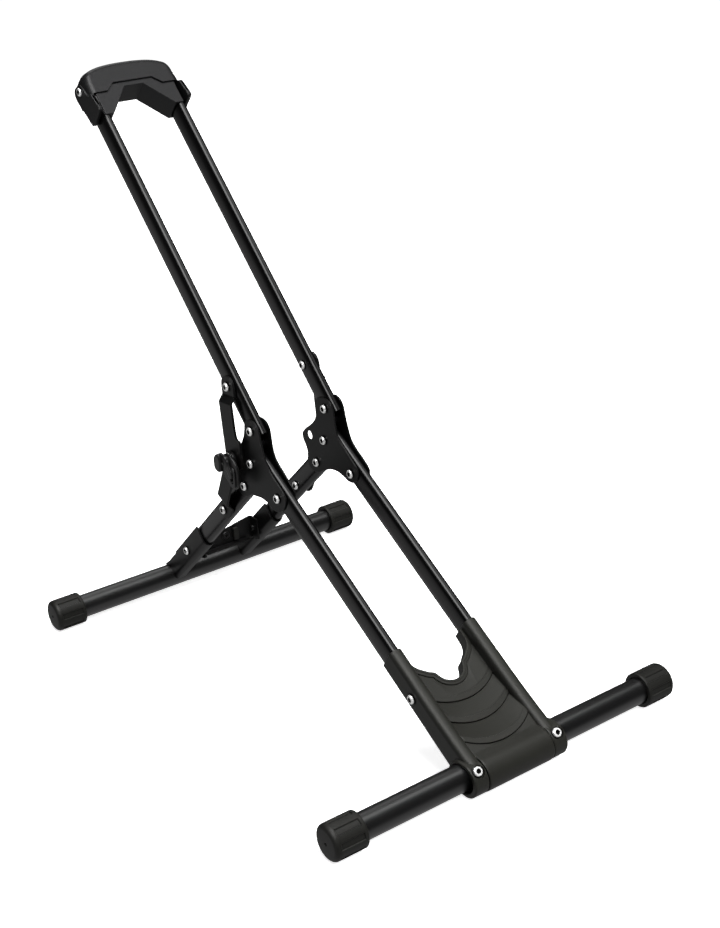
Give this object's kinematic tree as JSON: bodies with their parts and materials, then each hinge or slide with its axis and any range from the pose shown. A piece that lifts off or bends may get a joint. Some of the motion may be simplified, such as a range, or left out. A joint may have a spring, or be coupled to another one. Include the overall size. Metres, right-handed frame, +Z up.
{
  "type": "folding floor bike stand",
  "caption": "Folding floor stand that holds a bicycle by one wheel between two rail pairs, with hinged legs, folding side stays, pull latches and a notched wheel cradle.",
  "frame": {"origin": "middle of the bounding box, on the floor", "axes": "+X across to the right, +Y from the cradle at the front to the rear foot, +Z up"},
  "size_m": [0.391, 0.6315, 0.5736],
  "materials": {
    "black_tube": "satin gloss black paint on steel tube",
    "black_plate": "satin black paint on stamped steel plate",
    "dark_moulding": "moulded dark grey plastic with a soft sheen",
    "black_rubber": "moulded black rubber",
    "bright_steel": "bright plated steel"
  },
  "bodies": {
    "front_frame": {"clamp_bolt_left": "bright_steel", "clamp_bolt_right": "bright_steel", "cradle": "dark_moulding", "cradle_bolt_left": "bright_steel", "cradle_bolt_right": "bright_steel", "front_cap_left": "black_rubber", "front_cap_right": "black_rubber", "front_cross_tube": "black_tube", "gusset_inner_left": "black_plate", "gusset_inner_right": "black_plate", "gusset_outer_left": "black_plate", "gusset_outer_right": "black_plate", "leg_pivot_left": "bright_steel", "leg_pivot_right": "bright_steel", "lower_rail_left": "black_tube", "lower_rail_right": "black_tube", "rail_bolt_front_left": "bright_steel", "rail_bolt_front_right": "bright_steel", "rail_bolt_rear_left": "bright_steel", "rail_bolt_rear_right": "bright_steel", "upper_pivot_left": "bright_steel", "upper_pivot_right": "bright_steel"},
    "upper_frame": {"top_block": "dark_moulding", "top_cover": "dark_moulding", "upper_rail_left": "black_tube", "upper_rail_right": "black_tube", "bracket_bolt_left": "bright_steel", "bracket_bolt_right": "bright_steel", "stay_bolt_upper_left": "bright_steel", "stay_bolt_upper_right": "bright_steel"},
    "rear_frame": {"rear_cross_tube": "black_tube", "tie_plate": "black_plate", "tie_bumper": "black_rubber", "tie_screw": "bright_steel", "rear_cap_left": "black_rubber", "rear_cap_right": "black_rubber", "leg_left": "black_tube", "leg_right": "black_tube", "rear_socket_left": "black_plate", "rear_socket_right": "black_plate", "socket_bolt_left": "bright_steel", "socket_bolt_right": "bright_steel", "stay_bolt_lower_left": "bright_steel", "stay_bolt_lower_right": "bright_steel"},
    "upper_stay_left": {"upper_link_left": "black_plate"},
    "lower_stay_left": {"lower_link_left": "black_plate", "knuckle_left": "bright_steel"},
    "latch_left": {"latch_knob_left": "dark_moulding"},
    "upper_stay_right": {"upper_link_right": "black_plate"},
    "lower_stay_right": {"lower_link_right": "black_plate", "knuckle_right": "bright_steel"},
    "latch_right": {"latch_knob_right": "dark_moulding"}
  },
  "joints": [
    {"name": "rear_leg_fold", "type": "hinge", "parent": "front_frame", "child": "rear_frame", "pos_m": [0, 0.0374, 0.188], "axis": [1, 0, 0], "range_deg": [0, 75]},
    {"name": "upper_frame_fold", "type": "hinge", "parent": "front_frame", "child": "upper_frame", "pos_m": [0, 0.0154, 0.2525], "axis": [1, 0, 0], "range_deg": [-13.4, 0]},
    {"name": "upper_stay_left_swing", "type": "hinge", "parent": "upper_frame", "child": "upper_stay_left", "pos_m": [-0.0499, 0.0513, 0.2894], "axis": [1, 0, 0], "range_deg": [-23.25, 0]},
    {"name": "lower_stay_left_swing", "type": "hinge", "parent": "rear_frame", "child": "lower_stay_left", "pos_m": [-0.0499, 0.0839, 0.147], "axis": [1, 0, 0], "range_deg": [-14.22, 0]},
    {"name": "latch_left_pull", "type": "slide", "parent": "lower_stay_left", "child": "latch_left", "axis": [-1, 0, 0], "range_m": [0, 0.008], "stiffness_N_per_m": 500, "springref_m": -0.01},
    {"name": "upper_stay_right_swing", "type": "hinge", "parent": "upper_frame", "child": "upper_stay_right", "pos_m": [0.0499, 0.0513, 0.2894], "axis": [1, 0, 0], "range_deg": [-23.25, 0]},
    {"name": "lower_stay_right_swing", "type": "hinge", "parent": "rear_frame", "child": "lower_stay_right", "pos_m": [0.0499, 0.0839, 0.147], "axis": [1, 0, 0], "range_deg": [-14.22, 0]},
    {"name": "latch_right_pull", "type": "slide", "parent": "lower_stay_right", "child": "latch_right", "axis": [1, 0, 0], "range_m": [0, 0.008], "stiffness_N_per_m": 500, "springref_m": -0.01}
  ],
  "couplings": [
    {"joint": "upper_frame_fold", "follows": "rear_leg_fold", "ratio": -0.17733},
    {"joint": "upper_stay_left_swing", "follows": "rear_leg_fold", "ratio": -0.30731},
    {"joint": "lower_stay_left_swing", "follows": "rear_leg_fold", "ratio": -0.18688},
    {"joint": "upper_stay_right_swing", "follows": "rear_leg_fold", "ratio": -0.30731},
    {"joint": "lower_stay_right_swing", "follows": "rear_leg_fold", "ratio": -0.18688}
  ]
}
